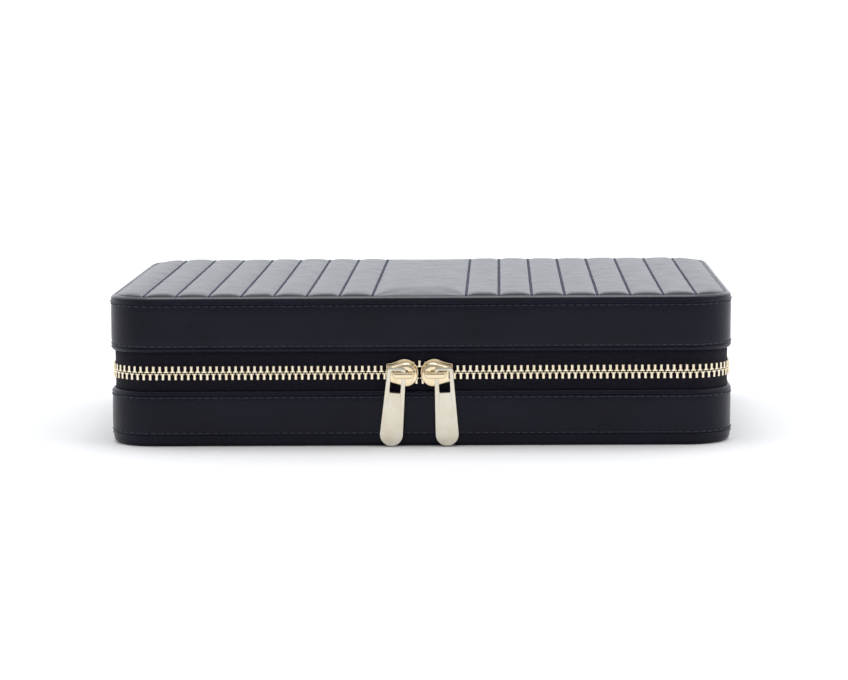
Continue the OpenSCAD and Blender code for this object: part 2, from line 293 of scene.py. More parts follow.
def stations(start, end, straight_step=3.0, corner_step=1.4):
    """Distances along the outline, closer together round the corners."""
    marks = [STRAIGHT_X, STRAIGHT_X + ARC, STRAIGHT_X + ARC + 2 * STRAIGHT_Y, TAPE_END]
    marks = sorted({-m for m in marks} | set(marks) | {start, end})
    marks = [m for m in marks if start <= m <= end]
    out = []
    for a, b in zip(marks, marks[1:]):
        middle = abs((a + b) / 2)
        curved = at(middle)[1][0] not in (0.0, 1.0) and at(middle)[1][1] not in (0.0, 1.0, -1.0)
        count = max(1, round((b - a) / (corner_step if curved else straight_step)))
        out += [a + (b - a) * i / count for i in range(count)]
    return out + [end]


def wave(s, z, size, seed):
    """A slow, repeatable unevenness, as in leather pulled over a board."""
    (x, y), _ = at(s)
    return size * noise.noise(Vector((x / 31 + seed, y / 31, z / 17)))


def strip(name, profile, material, start=-HALF_LOOP, end=HALF_LOOP, uneven=0.0):
    """Sweeps a closed profile of (inset, z) points round the outline. A full turn is closed."""
    full = end - start > 2 * HALF_LOOP - 0.01
    places = stations(start, end)
    if full:
        places = places[:-1]
    count = len(profile)
    seed = sum(map(ord, name)) % 97
    verts = [place(s, inset - wave(s, z, uneven, seed), z) for s in places for inset, z in profile]
    faces = []
    for i in range(len(places) if full else len(places) - 1):
        a, b = i * count, (i + 1) % len(places) * count
        for k in range(count):
            m = (k + 1) % count
            faces.append((a + k, b + k, b + m, a + m))
    if not full:
        faces.append(tuple(range(count)))
        faces.append(tuple((len(places) - 1) * count + k for k in reversed(range(count))))
    return face_outwards(make_object(name, verts, faces, material))


def arc_points(centre, radius, first, last, count):
    """Points on an arc in the (inset, z) plane; angles in degrees from the inset axis to z."""
    out = []
    for i in range(count):
        t = math.radians(first + (last - first) * i / (count - 1))
        out.append((centre[0] + radius * math.cos(t), centre[1] + radius * math.sin(t)))
    return out


def stitches(name, body, slot, material, inset, z):
    """A row of sewn stitches round the case: short threads that dip into the leather at both ends."""
    count = int(2 * HALF_LOOP / STITCH_PITCH)
    verts, faces = [], []
    for k in range(count):
        s0 = -HALF_LOOP + (k + 0.14) * 2 * HALF_LOOP / count
        wobble = 0.1 * noise.noise(Vector((k * 0.37, z, 1.7)))
        path = [place(s0 + STITCH_LEN * t, inset + dip, z + wobble * (2 * t - 1)) for t, dip in THREAD_DIPS]
        add_tube(verts, faces, path, (*at(s0)[1], 0), STITCH_R)
    return dress(make_object(name, verts, faces, material), body, slot)


# ---------------------------------------------------------------- materials
def set_inputs(node, values):
    """Sets a node's sockets by their names, with _ for a space."""
    for key, value in values.items():
        node.inputs[key.replace("_", " ")].default_value = value


def new_material(name, **values):
    material = bpy.data.materials.new(name)
    material.use_nodes = True
    tree = material.node_tree
    tree.nodes.clear()
    out = tree.nodes.new("ShaderNodeOutputMaterial")
    shader = tree.nodes.new("ShaderNodeBsdfPrincipled")
    set_inputs(shader, values)
    tree.links.new(shader.outputs["BSDF"], out.inputs["Surface"])
    return material, tree, shader


def texture(tree, kind, scale, **inputs):
    """A procedural texture in object coordinates; scale is in repeats per metre."""
    coords = tree.nodes.new("ShaderNodeTexCoord")
    node = tree.nodes.new("ShaderNodeTex" + kind)
    set_inputs(node, {"Scale": scale, **inputs})
    tree.links.new(coords.outputs["Object"], node.inputs["Vector"])
    return node.outputs["Distance" if kind == "Voronoi" else "Fac"]


def calculate(tree, operation, *inputs):
    """A Math node; each input is a number or another node's output."""
    node = tree.nodes.new("ShaderNodeMath")
    node.operation = operation
    for socket, value in zip(node.inputs, inputs):
        if isinstance(value, bpy.types.NodeSocket):
            tree.links.new(value, socket)
        else:
            socket.default_value = value
    return node.outputs["Value"]


def remap(tree, source, **ends):
    node = tree.nodes.new("ShaderNodeMapRange")
    set_inputs(node, ends)
    tree.links.new(source, node.inputs["Value"])
    return node.outputs["Result"]


def ramp(tree, source, stops):
    """A colour that follows a value, by (position, colour) stops."""
    node = tree.nodes.new("ShaderNodeValToRGB")
    elements = node.color_ramp.elements
    for element, (position, colour) in zip(elements, (stops[0], stops[-1])):
        element.position = position
        element.color = (*colour, 1)
    for position, colour in stops[1:-1]:
        elements.new(position).color = (*colour, 1)
    tree.links.new(source, node.inputs["Fac"])
    return node.outputs["Color"]


def paint(tree, shader, source, *stops):
    tree.links.new(ramp(tree, source, stops), shader.inputs["Base Color"])


def relief(tree, shader, *layers):
    """Bumps, one over another: each is a height, its full depth in millimetres and its strength."""
    normal = None
    for height, depth, strength in layers:
        node = tree.nodes.new("ShaderNodeBump")
        set_inputs(node, {"Distance": depth * MM, "Strength": strength})
        tree.links.new(height, node.inputs["Height"])
        if normal:
            tree.links.new(normal, node.inputs["Normal"])
        normal = node.outputs["Normal"]
    tree.links.new(normal, shader.inputs["Normal"])


def vary_roughness(tree, shader, source, low, high):
    tree.links.new(remap(tree, source, To_Min=low, To_Max=high), shader.inputs["Roughness"])


def leather(name, dark, light, grain=0.07, rough=(0.28, 0.38), ior=1.28):
    """Coated leather: a fine pebble grain, soft creases and a slight change of tone."""
    material, tree, shader = new_material(name, IOR=ior)
    tone = texture(tree, "Noise", 45, Detail=4)
    pebbles = texture(tree, "Voronoi", 1350, Randomness=0.9)
    fine = texture(tree, "Noise", 2600, Detail=3)
    creases = texture(tree, "Noise", 160, Detail=5, Roughness=0.55)
    paint(tree, shader, tone, (0.3, dark), (0.75, light))
    vary_roughness(tree, shader, creases, *rough)
    relief(tree, shader, (creases, 0.1, 0.35), (pebbles, grain, 0.8), (fine, 0.02, 0.3))
    return material


def thread(name, colour):
    """Twisted thread."""
    material, tree, shader = new_material(name, Roughness=0.6)
    twist = texture(tree, "Wave", 1100, Distortion=1.5, Detail=1)
    paint(tree, shader, twist, (0, [c * 0.6 for c in colour]), (1, colour))
    relief(tree, shader, (twist, 0.05, 1))
    return material


def woven(name, dark, light):
    """Zip tape: a fine ribbed weave."""
    material, tree, shader = new_material(name, Roughness=0.75, Specular_IOR_Level=0.12, Sheen_Weight=0.04)
    coords = tree.nodes.new("ShaderNodeTexCoord")
    split = tree.nodes.new("ShaderNodeSeparateXYZ")
    tree.links.new(coords.outputs["Object"], split.inputs["Vector"])
    along = calculate(tree, "ADD", split.outputs["X"], split.outputs["Y"])
    ribs = [calculate(tree, "SINE", calculate(tree, "MULTIPLY", source, repeats))
            for source, repeats in ((along, 9000), (split.outputs["Z"], 12500))]
    weave = calculate(tree, "MULTIPLY_ADD", *ribs, 0.5)
    fuzz = texture(tree, "Noise", 900, Detail=4)
    paint(tree, shader, fuzz, (0.3, dark), (0.7, light))
    relief(tree, shader, (weave, 0.06, 0.6), (fuzz, 0.04, 0.5))
    return material


def suede(name, dark, light):
    """Short-napped lining cloth."""
    material, tree, shader = new_material(name, Roughness=0.92, Specular_IOR_Level=0.2, Sheen_Weight=0.4,
                                          Sheen_Roughness=0.4)
    nap = texture(tree, "Noise", 1900, Detail=5, Roughness=0.7)
    brushed = texture(tree, "Noise", 38, Detail=3, Distortion=0.8)
    paint(tree, shader, calculate(tree, "MULTIPLY_ADD", nap, 0.45, brushed), (0.45, dark), (0.95, light))
    relief(tree, shader, (nap, 0.08, 0.7))
    return material


def gold(name, colour, rough, brushed=0.0):
    """Pale gold plate with faint tarnish and fine scratches."""
    material, tree, shader = new_material(name, Metallic=1)
    cloud = texture(tree, "Noise", 240, Detail=3)
    scratches = texture(tree, "Noise", 2200, Detail=2)
    tarnish = [c * f for c, f in zip(colour, (0.93, 0.9, 0.84))]
    paint(tree, shader, cloud, (0.35, tarnish), (0.65, colour))
    vary_roughness(tree, shader, cloud, rough * 0.8, rough * 1.25)
    relief(tree, shader, (scratches, 0.006 + brushed, 0.3))
    return material


def board_material():
    """Grey-brown box board with flecks."""
    material, tree, shader = new_material("box_board", Roughness=0.9)
    flecks = texture(tree, "Noise", 700, Detail=5)
    paint(tree, shader, flecks, (0.35, (0.2, 0.165, 0.125)), (0.7, (0.4, 0.35, 0.28)))
    relief(tree, shader, (flecks, 0.1, 0.4))
    return material


def wadding_material():
    """Pale foam and polyester wadding."""
    material, tree, shader = new_material("foam_wadding", Roughness=0.95)
    cells = texture(tree, "Voronoi", 1400)
    paint(tree, shader, cells, (0.1, (0.62, 0.6, 0.55)), (0.7, (0.85, 0.83, 0.78)))
    relief(tree, shader, (cells, 0.2, 0.5))
    return material


def mirror_material():
    """Silvered glass with a trace of haze."""
    material, tree, shader = new_material("mirror_glass", Metallic=1)
    haze = texture(tree, "Noise", 30, Detail=2)
    paint(tree, shader, haze, (0.2, (0.86, 0.88, 0.89)), (0.8, (0.92, 0.93, 0.94)))
    vary_roughness(tree, shader, haze, 0.015, 0.03)
    return material


NAVY = ((0.0028, 0.003, 0.0095), (0.0058, 0.006, 0.0165))
BAND_LEATHER = leather("band_leather", *NAVY)
RIDGE_LEATHER = leather("ridge_leather", *NAVY, 0.03, (0.2, 0.28), 1.6)
TOP_LEATHER = leather("quilt_leather", (0.0045, 0.0055, 0.0125), (0.008, 0.009, 0.018), 0.02,
                      (0.23, 0.31), 1.27)
EDGE_THREAD = thread("band_thread", (0.014, 0.026, 0.042))
SEAM_THREAD = thread("seam_thread", (0.006, 0.016, 0.065))
TAPE = woven("zip_tape", (0.004, 0.0034, 0.007), (0.011, 0.009, 0.017))
TOOTH_GOLD = gold("tooth_gold", (0.93, 0.84, 0.66), 0.22)
PULL_GOLD = gold("pull_gold", (0.74, 0.7, 0.59), 0.2, 0.001)
SLIDER_GOLD = gold("slider_gold", (0.88, 0.75, 0.52), 0.11)
LINING = suede("lining_suede", (0.018, 0.02, 0.034), (0.06, 0.063, 0.09))
ROLL_SUEDE = suede("roll_suede", (0.024, 0.026, 0.042), (0.08, 0.083, 0.115))


# ---------------------------------------------------------------- leather shell
def side_band(name, low, high, body, node):
    """A band of leather over thin wadding: slightly full in the middle, tucked in at both seams."""
    tuck = 0.22
    profile = [(1.25, low + 0.1), (0.75, low - 0.05), (tuck, low + 0.02)]
    rows = 12
    for i in range(rows + 1):
        t = i / rows
        fullness = tuck * (1 - abs(2 * t - 1) ** 6)
        profile.append((tuck - fullness, low + 0.3 + (high - low - 0.6) * t))
    profile += [(tuck, high - 0.02), (0.75, high + 0.05), (1.25, high - 0.1)]
    obj = strip(name, profile, BAND_LEATHER, uneven=0.22)
    return dress(obj, body, "leather", node)


def welt(name, edge_z, seam_z, body, node):
    """The folded edge of a band at the zip, with a small lip along its seam."""
    sign = 1 if edge_z > seam_z else -1
    lip = [(1.3, 0.25), (0.62, -0.1), (0.12, -0.12), (-0.06, 0.1), (-0.16, 0.4), (-0.1, 0.65),
           (0.06, 0.9), (0.16, 1.15)]
    fold = [(0.36, -0.3), (0.72, -0.06), (1.05, 0), (1.34, -0.12), (1.36, -0.8)]
    profile = [(inset, seam_z + sign * z) for inset, z in lip]
    profile += [(inset, edge_z + sign * z) for inset, z in fold]
    obj = strip(name, profile, BAND_LEATHER, uneven=0.08)
    return dress(obj, body, "leather", node)


def bottom_panel():
    """The leather under the case, turned up round the lower edge to the first seam."""
    thick, plate_inset = 1.1, 12
    lip = [(1.28, -0.15), (0.6, 0.16), (0.12, 0.16), (-0.1, -0.1), (-0.18, -0.4), (-0.06, -0.7),
           (0.16, -1.1), (0.3, -1.6)]
    profile = [(inset, BOTTOM_TURN + z) for inset, z in lip] + arc_points((2.6, 2.25), 2.25, 178, 268, 9)
    profile += [(6, 0), (plate_inset, 0), (plate_inset, thick), (2.2, thick), (1.4, 2)]
    shell = strip("base_bottom_leather", profile, BAND_LEATHER)
    join(shell, outline_plate(plate_inset, 0, thick, BAND_LEATHER))
    return dress(shell, "base", "leather", "base_bottom_panel")


def outline_plate(inset, low, high, material):
    """A flat plate inside the outline, as a closed solid."""
    ring = [place(s, inset, 0)[:2] for s in stations(-HALF_LOOP, HALF_LOOP)[:-1]]
    return loft("plate", [[(x, y, z) for x, y in ring] for z in (low, high)], material)


def top_binding():
    """The leather strip round the lid's upper edge: a lip at its seam, and a glossier rounded ridge
    beside the quilting."""
    ridge, ridge_height = LID_EDGE - 0.12, 0.95
    lip = [(1.3, 0.35), (0.7, -0.06), (0.1, -0.08), (-0.22, 0.12), (-0.34, 0.42), (-0.2, 0.72),
           (0.06, 1.0), (0.16, 1.3), (0.08, 1.5)]
    edge = [(0.1, 1.2), (0.18, 0.98), (0.34, 0.72), (0.58, 0.47), (0.88, 0.27), (1.2, 0.13), (1.46, 0.06),
            (1.6, 0.1), (1.68, 0.3), (1.76, 0.8), (2.42, ridge_height)]
    profile = [(inset, LID_SEAM + z) for inset, z in lip] + [(inset, ridge - drop) for inset, drop in edge]
    profile += [(2.4, QUILT_LOW - 0.2), (2.2, LID_SEAM + 0.5)]
    obj = strip("lid_binding_leather", profile, BAND_LEATHER, uneven=0.06)
    obj.data.materials.append(RIDGE_LEATHER)
    for face in obj.data.polygons:
        if face.center.z > (ridge - ridge_height) * MM:
            face.material_index = 1
    return dress(obj, "lid", "leather", "lid_top_binding")


# ---------------------------------------------------------------- quilted top
CHANNELS = 7
EDGE_X = HALF_W - QUILT_INSET
EDGE_Y = HALF_D - QUILT_INSET
PLAIN_HALF = 18.0
CHANNEL = 12.6
QUILT_SEAM = QUILT_LOW + 1.1
CROWN = QUILT_TOP - QUILT_SEAM
QUILT_CORNER = CORNER - QUILT_INSET
QUILT_STITCH = 2.5
QUILT_THREAD_R = 0.42
SEAMS = [PLAIN_HALF + CHANNEL * i for i in range(CHANNELS + 1)]


def seam_places():
    return [-EDGE_X] + [-x for x in reversed(SEAMS)] + SEAMS + [EDGE_X]


def channel_at(x):
    """The seams on both sides of x."""
    seams = seam_places()
    for a, b in zip(seams, seams[1:]):
        if x <= b:
            return a, b
    return seams[-2], seams[-1]


def past_corner(x, y):
    """How far a point lies past the centre of the nearest rounded corner, both ways."""
    return abs(x) - (EDGE_X - QUILT_CORNER), abs(y) - (EDGE_Y - QUILT_CORNER)


def edge_distance(x, y):
    """Distance from a point in plan to the quilted panel's edge."""
    dx, dy = past_corner(x, y)
    if dx > 0 and dy > 0:
        return QUILT_CORNER - math.hypot(dx, dy)
    return min(EDGE_X - abs(x), EDGE_Y - abs(y))


def quilt_height(x, y):
    """Height of the stuffed leather above the seams; the plain middle panel is flatter."""
    a, b = channel_at(x)
    across = abs(2 * (x - a) / (b - a) - 1)
    roundness, reach, fill = (12, 26, 0.663) if b - a > 2 * CHANNEL else (4.0, 8, 0.78)
    crown = max(0.0, 1 - across ** roundness) ** 0.85
    rise = 1 - (1 - min(1.0, max(0.0, edge_distance(x, y)) / reach)) ** 3.2
    height = fill * CROWN * crown * rise
    pucker = noise.noise(Vector((x / 5, y / 9, 3.1))) * 0.16
    pucker += noise.noise(Vector((x / 14, y / 30, 7.7))) * 0.14
    return height + pucker * min(1.0, height / CROWN * 1.6)


def quilt_columns():
    """Places across the quilting, closest together beside each seam."""
    out = []
    seams = seam_places()
    for a, b in zip(seams, seams[1:]):
        steps = 22 if b - a > 2 * CHANNEL else 10
        for i in range(steps):
            share = 0.5 - 0.5 * math.cos(math.pi * i / steps)
            out.append(a + (b - a) * share)
    return out + [EDGE_X]


def quilt_rows():
    steps = 56
    out = []
    for i in range(steps + 1):
        t = 2 * i / steps - 1
        out.append(EDGE_Y * math.copysign(1 - (1 - abs(t)) ** 1.35, t))
    return out


def squeeze(x, y):
    """Moves a point of the rectangular grid into the rounded outline."""
    dx, dy = past_corner(x, y)
    if dx <= 0 or dy <= 0:
        return x, y
    share = max(dx, dy) / math.hypot(dx, dy)
    return (math.copysign(EDGE_X - QUILT_CORNER + dx * share, x),
            math.copysign(EDGE_Y - QUILT_CORNER + dy * share, y))


def quilt_sheet():
    """The quilted leather before it is inflated: a grid with its seams along grid lines."""
    columns, rows = quilt_columns(), quilt_rows()
    verts, pinned = [], []
    seams = seam_places()
    for gy in rows:
        for gx in columns:
            x, y = squeeze(gx, gy)
            z = QUILT_SEAM + quilt_height(x, y)
            on_edge = abs(gx) > EDGE_X - 0.01 or abs(gy) > EDGE_Y - 0.01
            on_seam = min(abs(gx - s) for s in seams) < 0.01
            if on_edge:
                z = QUILT_SEAM - 0.75
            elif on_seam:
                z -= 0.3
            verts.append((x, y, z))
            pinned.append(1.0 if on_edge or on_seam else 0.0)
    n = len(columns)
    faces = [(j * n + i, j * n + i + 1, (j + 1) * n + i + 1, (j + 1) * n + i)
             for j in range(len(rows) - 1) for i in range(n - 1)]
    return verts, faces, pinned


def inflate(obj, pinned):
    """Swells the quilting between its seams with Blender's cloth, then keeps the result."""
    start = np.array([v.co for v in obj.data.vertices])
    group = obj.vertex_groups.new(name="sewn")
    group.add([i for i, p in enumerate(pinned) if p], 1.0, "REPLACE")
    mod = obj.modifiers.new("cloth", "CLOTH")
    cloth = mod.settings
    cloth.quality = 6
    cloth.mass = 0.4
    cloth.tension_stiffness = 25
    cloth.compression_stiffness = 12
    cloth.shear_stiffness = 8
    cloth.bending_stiffness = 1.2
    cloth.vertex_group_mass = "sewn"
    cloth.use_pressure = True
    cloth.uniform_pressure_force = 2.5
    cloth.effector_weights.gravity = 0
    mod.collision_settings.use_collision = False
    scene = bpy.context.scene
    frames = 14
    scene.frame_start, scene.frame_end = 1, frames
    mod.point_cache.frame_start, mod.point_cache.frame_end = 1, frames
    for number in range(1, frames + 1):
        scene.frame_set(number)
    graph = bpy.context.evaluated_depsgraph_get()
    swollen = np.array([v.co for v in obj.evaluated_get(graph).data.vertices])
    scene.frame_set(1)
    obj.modifiers.clear()
    move = swollen - start
    most = 0.7 * MM
    length = np.linalg.norm(move, axis=1)
    move *= np.minimum(1.0, most / np.maximum(length, 1e-9))[:, None]
    obj.data.vertices.foreach_set("co", (start + move).ravel())
    obj.data.update()


def quilted_top():
    verts, faces, pinned = quilt_sheet()
    obj = make_object("lid_quilt_leather", verts, faces, TOP_LEATHER)
    inflate(obj, pinned)
    subdivide(obj)
    close_underneath(obj)
    return dress(obj, "lid", "leather", "lid_quilted_panel")


def close_underneath(obj):
    """Turns the sheet's edge down and closes it below, so that the panel is a solid pad."""
    low = (QUILT_LOW + 0.05) * MM
    with editing(obj) as bm:
        rim = [e for e in bm.edges if e.is_boundary]
        skirt = bmesh.ops.extrude_edge_only(bm, edges=rim)["geom"]
        for part in skirt:
            if isinstance(part, bmesh.types.BMVert):
                part.co.z = low
        middle = bm.verts.new((0, 0, low))
        for part in skirt:
            if isinstance(part, bmesh.types.BMEdge) and part.is_boundary:
                bm.faces.new((part.verts[0], part.verts[1], middle))
        bmesh.ops.recalc_face_normals(bm, faces=bm.faces)
    shade_smooth(obj)


def quilt_threads():
    """Stitches down each seam of the quilting."""
    verts, faces = [], []
    z = QUILT_SEAM + 0.16
    for x in seam_places()[1:-1]:
        past = max(0.0, past_corner(x, 0)[0])
        reach = EDGE_Y - QUILT_CORNER + math.sqrt(QUILT_CORNER ** 2 - past ** 2) - 1.2
        count = int(2 * reach / STITCH_PITCH)
        for k in range(count):
            y0 = -reach + k * 2 * reach / count
            path = [(x + 0.16 * noise.noise(Vector((x, y0 / 2, t))), y0 + QUILT_STITCH * t, z - dip)
                    for t, dip in THREAD_DIPS]
            add_tube(verts, faces, path, (0, 0, 1), QUILT_THREAD_R)
    obj = make_object("lid_quilt_thread", verts, faces, SEAM_THREAD)
    return dress(obj, "lid", "leather")


# ---------------------------------------------------------------- zip
TAPE_IN = 1.4
TAPE_T = 0.6
PITCH = 2.44
ZIP_RADIUS = CORNER - TAPE_IN
# The slider's post runs between the two rows' heads, which stop just short of each other
POST_HALF = 0.07
SPREAD = 1.9
SPREAD_REACH = 8.0


def spread_at(s):
    """How far a row stands off the zip's centre line: only between the two sliders' noses."""
    t = min(1.0, abs(s) / SPREAD_REACH)
    return SPREAD * (1 - t * t * (3 - 2 * t))


def tape(name, upper, node, body):
    """One tape: flat where it is sewn in, with a corded edge that the teeth hold."""
    sign = 1 if upper else -1
    far = LID_LOW + 4.2 if upper else BASE_TOP - 4.2
    front = [(-0.02, 6.4), (0.05, 4.8), (0, 3.4), (-0.3, 2.5), (-0.42, 1.8), (-0.25, 1.1), (0.3, 0.95)]
    back = [(0.25, 1.1), (0.42, 1.8), (0.2, 2.6), (0, 3.4)]
    profile = [(TAPE_IN, far)] + [(TAPE_IN + depth, ZIP + sign * z) for depth, z in front]
    profile += [(TAPE_IN + TAPE_T + depth, ZIP + sign * z) for depth, z in back] + [(TAPE_IN + TAPE_T, far)]
    obj = strip(name, profile, TAPE, -TAPE_END, TAPE_END, 0.05)
    for v in obj.data.vertices:
        x, y, z = v.co / MM
        if y < -HALF_D + CORNER and abs(x) < SPREAD_REACH and abs(z - ZIP) < 5:
            share = 1 - abs(abs(z - ZIP) - 1.8) / 3.4
            v.co.z += sign * spread_at(x) * max(0.0, min(1.0, share)) * MM
    return dress(obj, body, "tape", node)


# Cross-sections of a tooth from its foot to its head: height from the zip's centre line, half
# its width along the zip, and its front and back depths
TOOTH_SECTIONS = (
    (-2.72, 0.4, 0.7, 2.7), (-2.6, 0.5, 0.46, 2.95), (-1.5, 0.48, 0.42, 3.0), (-0.64, 0.47, 0.42, 3.0),
    (-0.62, 0.94, 0.46, 2.85), (-0.4, 1.0, 0.46, 2.8), (-0.17, 0.98, 0.48, 2.7), (-0.11, 0.9, 0.6, 2.6),
)


def add_tooth(verts, faces, s, upper):
    """Adds one tooth with rounded edges at a place along the zip."""
    (bx, by), (nx, ny) = at(s)
    rings = []
    corner = 0.16
    for w, half, front, back in TOOTH_SECTIONS:
        z = ZIP + (spread_at(s) - w if upper else w - spread_at(s))
        ring = [(-half, back - corner), (-half, front + corner), (-half + corner, front),
                (half - corner, front), (half, front + corner), (half, back - corner),
                (half - corner, back), (-half + corner, back)]
        rings.append([(bx - u * ny - depth * nx, by + u * nx - depth * ny, z) for u, depth in ring])
    add_rings(verts, faces, rings)


def zip_place(distance):
    """Turns a distance along the tape's own line into one along the bands' outer face."""
    side = 1 if distance >= 0 else -1
    a = abs(distance)
    inner_arc = ZIP_RADIUS * math.pi / 2
    if a <= STRAIGHT_X:
        return distance
    if a <= STRAIGHT_X + inner_arc:
        return side * (STRAIGHT_X + (a - STRAIGHT_X) * CORNER / ZIP_RADIUS)
    return side * (a - inner_arc + ARC)


def teeth(name, upper, node, body):
    verts, faces = [], []
    reach = STRAIGHT_X + ZIP_RADIUS * math.pi / 2 + 56 + STRAIGHT_Y
    steps = int(reach / PITCH) - 1
    for step in range(-steps, steps + 1):
        distance = (step + (0 if upper else 0.5)) * PITCH
        if abs(distance) < reach - 1:
            add_tooth(verts, faces, zip_place(distance), upper)
    obj = face_outwards(make_object(name, verts, faces, TOOTH_GOLD))
    sharpen(obj)
    return dress(obj, body, "teeth_metal", node)


def end_stops(name, node, body):
    """A folded metal stop at each end of a row."""
    low, high = box_of(node)
    width = 2.6
    blocks = [rounded_box(name, (left, low.y, low.z), (left + width, high.y, high.z), 0.35, TOOTH_GOLD)
              for left in (-high.x, high.x - width)]
    return dress(join(*blocks), body, "teeth_metal", node)


# ---------------------------------------------------------------- sliders and pulls
QUARTER = [math.pi / 2 * i / 6 for i in range(7)]
SLIDER_NOSE_R = 5.25
SLIDER_LENGTH = 12.3
PULL_LENGTH = 30.3
PULL_TOP_W = 7.1
PULL_END_W = 8.9
PULL_THICK = 1.2
WINDOW_W = 4.2
WINDOW_H = 8.4
WINDOW_DROP = 1.3
# The peg that a pull hangs on, by its place from the middle, its radius and its play in the window
PEG_X = 10.1
PEG_R = 0.6
PEG_PLAY = 0.15


def shield(nose_r, tail_half, length, shift_z, waist):
    """Outline of a slider plate: (x back from the nose, z) points, round at the nose."""
    out = []
    steps = 26
    for i in range(steps + 1):
        t = math.radians(-115 + 230 * i / steps)
        out.append((-nose_r + nose_r * math.cos(t), shift_z + nose_r * math.sin(t)))
    top = [(-nose_r * 1.62, shift_z + nose_r * 0.82 + waist), (-length * 0.86, shift_z + tail_half + 0.1),
           (-length * 0.97, shift_z + tail_half - 0.02), (-length, shift_z + tail_half - 0.5)]
    bottom = [(x, 2 * shift_z - z) for x, z in reversed(top)]
    return out + top + bottom


def shrink(points, amount):
    """Moves a closed outline inwards by an amount."""
    out = []
    for i, (x, z) in enumerate(points):
        ax, az = points[i - 1]
        bx, bz = points[(i + 1) % len(points)]
        tx, tz = bx - ax, bz - az
        length = math.hypot(tx, tz) or 1
        out.append((x - amount * tz / length, z + amount * tx / length))
    return out


def between(a, b, share):
    """Outline part of the way from one outline to another."""
    return [(p[0] + (q[0] - p[0]) * share, p[1] + (q[1] - p[1]) * share) for p, q in zip(a, b)]


def cut(obj, cutter):
    """Takes the cutter's shape out of an object."""
    mod = obj.modifiers.new("cut", "BOOLEAN")
    mod.operation = "DIFFERENCE"
    mod.solver = "EXACT"
    mod.object = cutter
    apply_modifiers(obj)
    remove(cutter)


def slider(side, name):
    """Front plate with its upper edge curling back, rear plate, the post between them, and flanges.
    Lengths run back from the nose, and depths from the bands' face."""
    nose = box_of("left_slider_body")[1].x
    rear_depth, flange_z = 3.55, (-3.7, -3.0)

    def plate(plate_name, outlines):
        rings = [[(-side * (nose + x), -HALF_D + depth, ZIP + z) for x, z in outline]
                 for outline, depth in outlines]
        return loft(plate_name, rings, SLIDER_GOLD)

    def block(lengths, depths, heights, radius):
        xs = sorted(-side * (nose - length) for length in lengths)
        low, high = zip(xs, (-HALF_D + depth for depth in depths), (ZIP + z for z in heights))
        return rounded_box("block", low, high, radius, SLIDER_GOLD)

    outer = shield(SLIDER_NOSE_R, 3.55, SLIDER_LENGTH, 0, 0)
    face = [(x - 0.35, z) for x, z in shield(4.35, 2.7, 11.6, -0.95, 0.1)]
    front = plate(name, [
        (shrink(outer, 0.35), 0.34), (outer, 0.3), (outer, -0.3), (shrink(outer, 0.12), -0.42),
        (shrink(outer, 0.32), -0.4), (between(outer, face, 0.45), -0.02), (between(outer, face, 0.8), -0.3),
        (face, -0.82), (shrink(face, 0.18), -1.02), (shrink(face, 0.5), -1.12), (shrink(face, 1.2), -1.17),
    ])
    cut(front, block((8.6, 4.0), (-2, -0.3), (0.25, 1.2), 0.3))
    rear_edge = shrink(outer, 0.3)
    rear = plate("rear", [(rear_edge, rear_depth), (outer, rear_depth + 0.3),
                          (outer, rear_depth + 0.9), (rear_edge, rear_depth + 1.2)])
    post = block((1.0, 4.4), (0.1, rear_depth + 0.1), (-POST_HALF, POST_HALF), 0.03)
    flanges = [block((12.2, 3.2), depths, flange_z, 0.2) for depths in ((-0.1, 0.92), (2.5, 3.7))]
    return join(front, rear, post, *flanges)


def bridge(side, name):
    """The arched bar that the pull hangs on: round legs that widen into a flat bar."""
    low, high = box_of("left_slider_bridge")
    foot, bend, bar = -HALF_D - 1.0, -HALF_D - 2.85, low.y + 0.55
    leg_left, leg_right = low.x + 0.8, high.x - 0.8
    turn = 1.0
    path = [(leg_left, foot), (leg_left, bend)]
    path += [(leg_left + turn * (1 - math.cos(t)), bend + (bar - bend) * math.sin(t)) for t in QUARTER[1:]]
    path += [(leg_left + (leg_right - leg_left) * k / 6, bar) for k in (2, 3, 4)]
    path += [(leg_right - turn * (1 - math.sin(t)), bend + (bar - bend) * math.cos(t)) for t in QUARTER[:-1]]
    path += [(leg_right, bend), (leg_right, foot)]
    leg_z, bar_z = ZIP + 0.2, (high.z + low.z) / 2 - 0.2
    rings = []
    for i, (x, y) in enumerate(path):
        ax, ay = path[max(0, i - 1)]
        bx, by = path[min(len(path) - 1, i + 1)]
        length = math.hypot(bx - ax, by - ay)
        nx, ny = (by - ay) / length, -(bx - ax) / length
        share = max(0.0, min(1.0, (bend - 0.1 - y) / (bend - 0.1 - bar)))
        half_z = 0.52 + 0.66 * share
        mid_z = leg_z + (bar_z - leg_z) * share
        ring = []
        for t in circle(16):
            u = 0.5 * signed_power(math.cos(t), 0.6)
            w = half_z * signed_power(math.sin(t), 0.6)
            ring.append((-side * (x + u * nx), y + u * ny, mid_z + w))
        rings.append(ring)
    return loft(name, rings, SLIDER_GOLD)


def pull_shape(length, top_w, end_w):
    """Closed outline of a pull, from its top edge down: (x, z) points."""
    r, top_r = end_w / 2, 1.1
    out = []
    for cx, first in ((top_w / 2 - top_r, 0), (top_r - top_w / 2, 90)):
        out += arc_points((cx, -top_r), top_r, first, first + 90, 5)
    return out + arc_points((0, r - length), r, 180, 360, 19)


def window_shape(width, height, top, radius=0.55):
    """Closed outline of a rounded window whose upper edge is at top."""
    out = []
    for sx, sz, first in ((1, 1, 0), (-1, 1, 90), (-1, -1, 180), (1, -1, 270)):
        centre = (sx * (width / 2 - radius), top - height / 2 + sz * (height / 2 - radius))
        out += arc_points(centre, radius, first, first + 90, 4)
    return out


